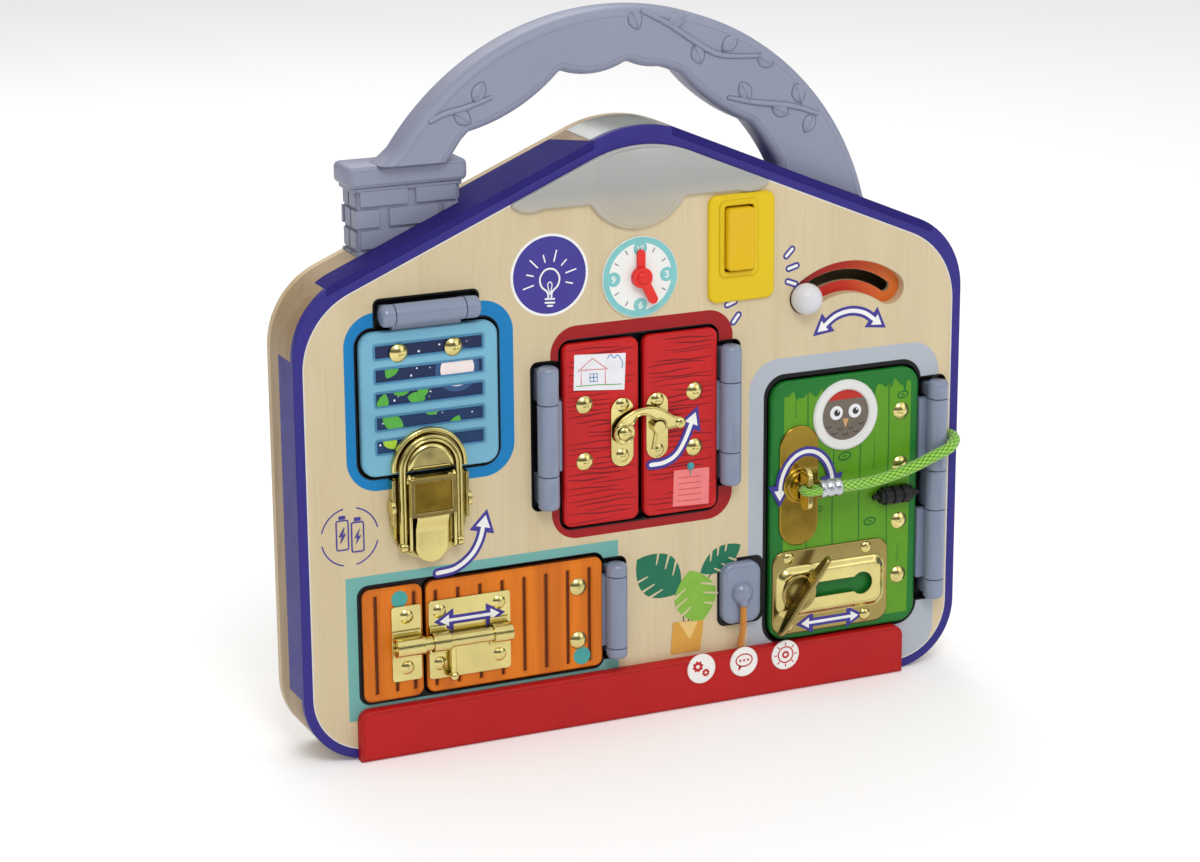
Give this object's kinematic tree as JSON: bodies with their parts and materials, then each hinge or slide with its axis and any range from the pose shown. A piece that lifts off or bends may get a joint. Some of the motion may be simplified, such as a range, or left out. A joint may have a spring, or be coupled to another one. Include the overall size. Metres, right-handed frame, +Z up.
{
  "type": "busy board",
  "caption": "House-shaped wooden latch board with hinged doors, a draw latch, hook, bolt, key lock, slider, rocker switch, clock and an arched carry handle",
  "frame": {"origin": "centre of the flat base that the board stands on, half way through the depth of its wooden body", "axes": "X to the right as seen from the front, Y from the front face toward the back, Z up"},
  "size_m": [0.308, 0.0495, 0.3048],
  "materials": {
    "natural_wood": "clear lacquered pine and plywood",
    "cream_panel": "pale stained plywood under clear lacquer",
    "purple_paint": "purple-blue painted plywood, satin",
    "grey_plastic": "moulded blue-grey plastic",
    "white_plastic": "moulded white plastic, translucent at the lamp",
    "circuit_board": "green circuit board",
    "steel": "plain steel",
    "red_paint": "red painted plywood, satin",
    "red_plastic": "moulded red plastic",
    "yellow_plastic": "moulded yellow plastic",
    "amber_plastic": "moulded amber plastic",
    "ball_plastic": "moulded light grey plastic",
    "blue_paint": "light blue painted plywood, satin",
    "brass": "brass-plated pressed steel, polished",
    "orange_paint": "orange painted plywood, satin",
    "green_paint": "green painted plywood, satin",
    "black_plastic": "moulded black plastic",
    "orange_cord": "braided orange cord",
    "green_cord": "braided light green cord"
  },
  "bodies": {
    "board": {"frame_shell": "natural_wood", "front_panel": "cream_panel", "rim_band": "purple_paint", "back_panel": "natural_wood", "inner_board": "natural_wood", "roof_boards": "purple_paint", "chimney": "grey_plastic", "chimney_cap": "grey_plastic", "handle": "grey_plastic", "cloud_cover": "white_plastic", "lamp_dome": "white_plastic", "lamp_board": "circuit_board", "battery_cover": "grey_plastic", "body_screws": "steel", "plinth_band": "red_paint", "switch_plate": "yellow_plastic", "clock_dial": "white_plastic", "hinge_brackets": "grey_plastic", "hinge_pins": "steel", "latch_base": "brass", "orange_block": "orange_paint", "bolt_keeper": "brass", "strike_box": "grey_plastic", "tether_cord": "orange_cord"},
    "rocker": {"switch_rocker": "amber_plastic"},
    "hour": {"hour_hand": "red_plastic"},
    "minute": {"minute_hand": "red_plastic"},
    "ball": {"slider_ball": "ball_plastic"},
    "shutter": {"window_shutter": "blue_paint", "shutter_leaf": "grey_plastic", "shutter_rivets": "brass", "latch_strike": "brass"},
    "lever": {"latch_lever": "brass"},
    "bail": {"latch_bail": "brass"},
    "red_left": {"red_door_left": "red_paint", "red_leaf_left": "grey_plastic", "red_rivets_left": "brass", "hook_plate": "brass"},
    "hook": {"hook_arm": "brass"},
    "red_right": {"red_door_right": "red_paint", "red_leaf_right": "grey_plastic", "red_rivets_right": "brass", "stud_plate": "brass"},
    "orange": {"orange_door": "orange_paint", "orange_leaf": "grey_plastic", "orange_rivets": "brass", "bolt_plate": "brass"},
    "bolt": {"bolt_rod": "brass"},
    "green": {"green_door": "green_paint", "green_leaf": "grey_plastic", "green_rivets": "brass", "peephole_ring": "white_plastic", "lock_escutcheon": "brass", "key_clip": "black_plastic", "slide_plate": "brass", "key_cord": "green_cord", "cord_ferrule": "steel"},
    "key_body": {"key": "brass"},
    "washer": {"slide_washer": "steel"},
    "thumb": {"thumb_piece": "brass"}
  },
  "joints": [
    {"name": "rocker_tilt", "type": "hinge", "parent": "board", "child": "rocker", "pos_m": [0.0444, -0.0145, 0.2056], "axis": [1, 0, 0], "range_deg": [-8, 8]},
    {"name": "hour_turn", "type": "hinge", "parent": "board", "child": "hour", "pos_m": [-0.0012, -0.0178, 0.1934], "axis": [0, 1, 0], "continuous": true},
    {"name": "minute_turn", "type": "hinge", "parent": "board", "child": "minute", "pos_m": [-0.0012, -0.0193, 0.1934], "axis": [0, 1, 0], "continuous": true},
    {"name": "ball_slide", "type": "hinge", "parent": "board", "child": "ball", "pos_m": [0.0976, -0.016, 0.149], "axis": [0, 1, 0], "range_deg": [0, 75.2]},
    {"name": "shutter_swing", "type": "hinge", "parent": "board", "child": "shutter", "pos_m": [-0.0963, -0.0196, 0.1894], "axis": [-1, 0, 0], "range_deg": [0, 104]},
    {"name": "lever_lift", "type": "hinge", "parent": "board", "child": "lever", "pos_m": [-0.0978, -0.0202, 0.1196], "axis": [-1, 0, 0], "range_deg": [0, 100]},
    {"name": "bail_swing", "type": "hinge", "parent": "lever", "child": "bail", "pos_m": [-0.0978, -0.0202, 0.0912], "axis": [-1, 0, 0], "range_deg": [-100, 0]},
    {"name": "red_left_swing", "type": "hinge", "parent": "board", "child": "red_left", "pos_m": [-0.0448, -0.0196, 0.1288], "axis": [0, 0, -1], "range_deg": [0, 104]},
    {"name": "hook_lift", "type": "hinge", "parent": "red_left", "child": "hook", "pos_m": [-0.0105, -0.0208, 0.1277], "axis": [0, -1, 0], "range_deg": [0, 100]},
    {"name": "red_right_swing", "type": "hinge", "parent": "board", "child": "red_right", "pos_m": [0.04, -0.0196, 0.1288], "axis": [0, 0, 1], "range_deg": [0, 104]},
    {"name": "orange_swing", "type": "hinge", "parent": "board", "child": "orange", "pos_m": [-0.0139, -0.0196, 0.049], "axis": [0, 0, 1], "range_deg": [0, 104]},
    {"name": "bolt_slide", "type": "slide", "parent": "orange", "child": "bolt", "axis": [1, 0, 0], "range_m": [0, 0.015]},
    {"name": "green_swing", "type": "hinge", "parent": "board", "child": "green", "pos_m": [0.1416, -0.0196, 0.081], "axis": [0, 0, 1], "range_deg": [0, 104], "deforming": ["key_cord"]},
    {"name": "key_turn", "type": "hinge", "parent": "green", "child": "key_body", "pos_m": [0.0738, -0.02, 0.0936], "axis": [0, 1, 0], "range_deg": [-90, 90], "deforming": ["key_cord", "cord_ferrule"]},
    {"name": "thumb_slide", "type": "slide", "parent": "green", "child": "washer", "axis": [1, 0, 0], "range_m": [0, 0.0315]},
    {"name": "thumb_turn", "type": "hinge", "parent": "washer", "child": "thumb", "pos_m": [0.073, -0.02, 0.045], "axis": [0, 1, 0], "range_deg": [-40, 20]}
  ],
  "couplings": [
    {"joint": "bail_swing", "follows": "lever_lift", "ratio": -1}
  ]
}
